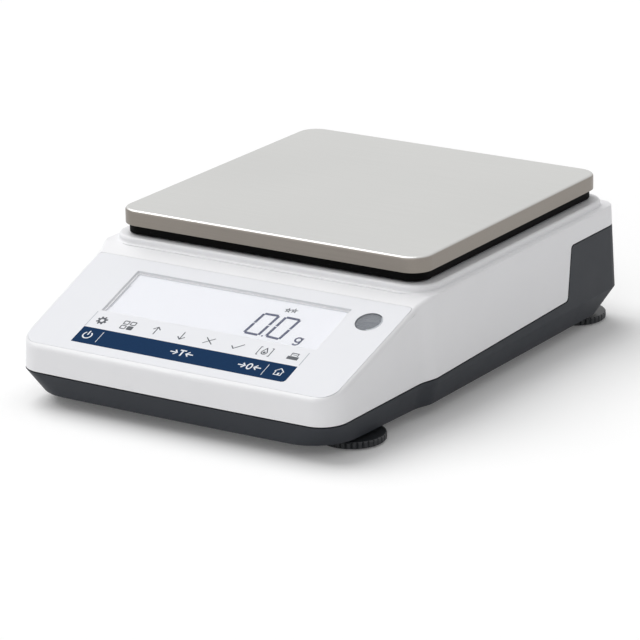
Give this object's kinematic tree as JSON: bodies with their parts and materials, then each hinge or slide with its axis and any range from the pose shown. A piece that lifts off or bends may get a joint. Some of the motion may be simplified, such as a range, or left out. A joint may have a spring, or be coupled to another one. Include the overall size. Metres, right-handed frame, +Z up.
{
  "type": "precision balance",
  "caption": "Bench balance with a square steel pan on a raised housing, a sloped keypad panel with a display window, a bubble level and screw feet",
  "frame": {"origin": "on the bench, below the middle of the housing's outline", "axes": "+X to the user's right when facing the display, +Y to the rear, +Z up"},
  "size_m": [0.198, 0.273, 0.079],
  "materials": {
    "white_plastic": "fine spark-eroded texture",
    "dark_plastic": "fine texture",
    "black_plastic": "satin",
    "keypad_film": "printed polyester film",
    "window": "clear pane",
    "lcd_glass": "reflective display glass",
    "display_frame": "smooth",
    "circuit_board": "solder mask",
    "zinc_steel": "zinc plated",
    "level_vial": "clear",
    "brushed_stainless": "brushed",
    "rubber": "matt",
    "turned_aluminium": "turned",
    "milled_aluminium": "milled",
    "gauge_sealant": "cured sealant",
    "cast_aluminium": "die cast",
    "socket_shell": "nickel plated",
    "brass": "turned",
    "wheel_plastic": "notched and moulded"
  },
  "bodies": {
    "body": {"base_housing": "dark_plastic", "top_housing": "white_plastic", "touch_film": "keypad_film", "display_window": "window", "display_glass": "lcd_glass", "display_frame": "display_frame", "display_board": "circuit_board", "display_screws": "zinc_steel", "level_cup": "black_plastic", "level_vial": "level_vial", "load_cell": "milled_aluminium", "strain_gauges": "gauge_sealant", "cell_spacer": "zinc_steel", "cell_bolts": "zinc_steel", "chassis": "cast_aluminium", "chassis_screws": "zinc_steel", "overload_stop": "zinc_steel", "main_board": "circuit_board", "board_screws": "zinc_steel", "power_socket": "black_plastic", "usb_socket": "socket_shell", "serial_socket": "socket_shell", "housing_screws": "zinc_steel", "foot_inserts": "brass"},
    "pan_carrier": {"load_arm": "turned_aluminium", "arm_bolts": "zinc_steel", "load_post": "turned_aluminium", "pan_support": "black_plastic", "pan_bumpers": "rubber", "support_screw": "zinc_steel"},
    "pan": {"weighing_pan": "brushed_stainless"},
    "foot_slide_front_left": {"foot_pad_front_left": "rubber"},
    "foot_screw_front_left": {"foot_wheel_front_left": "wheel_plastic"},
    "foot_slide_front_right": {"foot_pad_front_right": "rubber"},
    "foot_screw_front_right": {"foot_wheel_front_right": "wheel_plastic"},
    "foot_slide_rear_left": {"foot_pad_rear_left": "rubber"},
    "foot_screw_rear_left": {"foot_wheel_rear_left": "wheel_plastic"},
    "foot_slide_rear_right": {"foot_pad_rear_right": "rubber"},
    "foot_screw_rear_right": {"foot_wheel_rear_right": "wheel_plastic"}
  },
  "joints": [
    {"name": "pan_load", "type": "slide", "parent": "body", "child": "pan_carrier", "axis": [0, 0, 1], "range_m": [-0.0004, 0], "stiffness_N_per_m": 150000, "springref_m": 0.00003, "deforming": ["load_cell"]},
    {"name": "pan_lift", "type": "slide", "parent": "pan_carrier", "child": "pan", "axis": [0, 0, 1], "range_m": [0, 0.04]},
    {"name": "foot_height_front_left", "type": "slide", "parent": "body", "child": "foot_slide_front_left", "axis": [0, 0, 1], "range_m": [-0.00601, 0.00126]},
    {"name": "foot_turn_front_left", "type": "hinge", "parent": "foot_slide_front_left", "child": "foot_screw_front_left", "pos_m": [-0.08, -0.0975, 0.0025], "axis": [0, 0, 1], "range_deg": [-1728, 360]},
    {"name": "foot_height_front_right", "type": "slide", "parent": "body", "child": "foot_slide_front_right", "axis": [0, 0, 1], "range_m": [-0.00601, 0.00126]},
    {"name": "foot_turn_front_right", "type": "hinge", "parent": "foot_slide_front_right", "child": "foot_screw_front_right", "pos_m": [0.08, -0.0975, 0.0025], "axis": [0, 0, 1], "range_deg": [-1728, 360]},
    {"name": "foot_height_rear_left", "type": "slide", "parent": "body", "child": "foot_slide_rear_left", "axis": [0, 0, 1], "range_m": [-0.00601, 0.00126]},
    {"name": "foot_turn_rear_left", "type": "hinge", "parent": "foot_slide_rear_left", "child": "foot_screw_rear_left", "pos_m": [-0.08, 0.12, 0.0025], "axis": [0, 0, 1], "range_deg": [-1728, 360]},
    {"name": "foot_height_rear_right", "type": "slide", "parent": "body", "child": "foot_slide_rear_right", "axis": [0, 0, 1], "range_m": [-0.00601, 0.00126]},
    {"name": "foot_turn_rear_right", "type": "hinge", "parent": "foot_slide_rear_right", "child": "foot_screw_rear_right", "pos_m": [0.08, 0.12, 0.0025], "axis": [0, 0, 1], "range_deg": [-1728, 360]}
  ],
  "couplings": [
    {"joint": "foot_height_front_left", "follows": "foot_turn_front_left", "m_per_rad": 0.00019894},
    {"joint": "foot_height_front_right", "follows": "foot_turn_front_right", "m_per_rad": 0.00019894},
    {"joint": "foot_height_rear_left", "follows": "foot_turn_rear_left", "m_per_rad": 0.00019894},
    {"joint": "foot_height_rear_right", "follows": "foot_turn_rear_right", "m_per_rad": 0.00019894}
  ]
}
